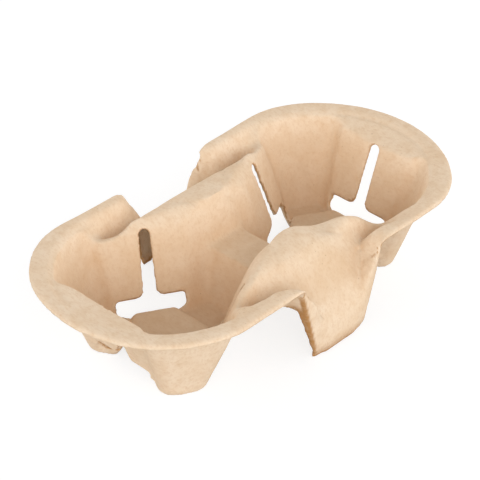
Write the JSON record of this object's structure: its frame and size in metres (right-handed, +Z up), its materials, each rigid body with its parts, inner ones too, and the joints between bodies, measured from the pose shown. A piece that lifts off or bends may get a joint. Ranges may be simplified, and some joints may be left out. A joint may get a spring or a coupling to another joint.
{
  "type": "cardboard cup carrier",
  "caption": "Moulded paper-pulp carrier for takeaway cups: deep pockets with slotted panels, a rolled rim, raised wings and centre legs, all in one sheet.",
  "frame": {"origin": "centre of the footprint on the table the carrier stands on", "axes": "+X along the carrier from one pocket to the other, +Y across it, +Z up out of the pockets"},
  "size_m": [0.215, 0.1086, 0.0475],
  "materials": {
    "moulded_pulp": "matte, natural brown moulded pulp"
  },
  "bodies": {
    "root": {"carrier_tray": "moulded_pulp"}
  },
  "joints": []
}
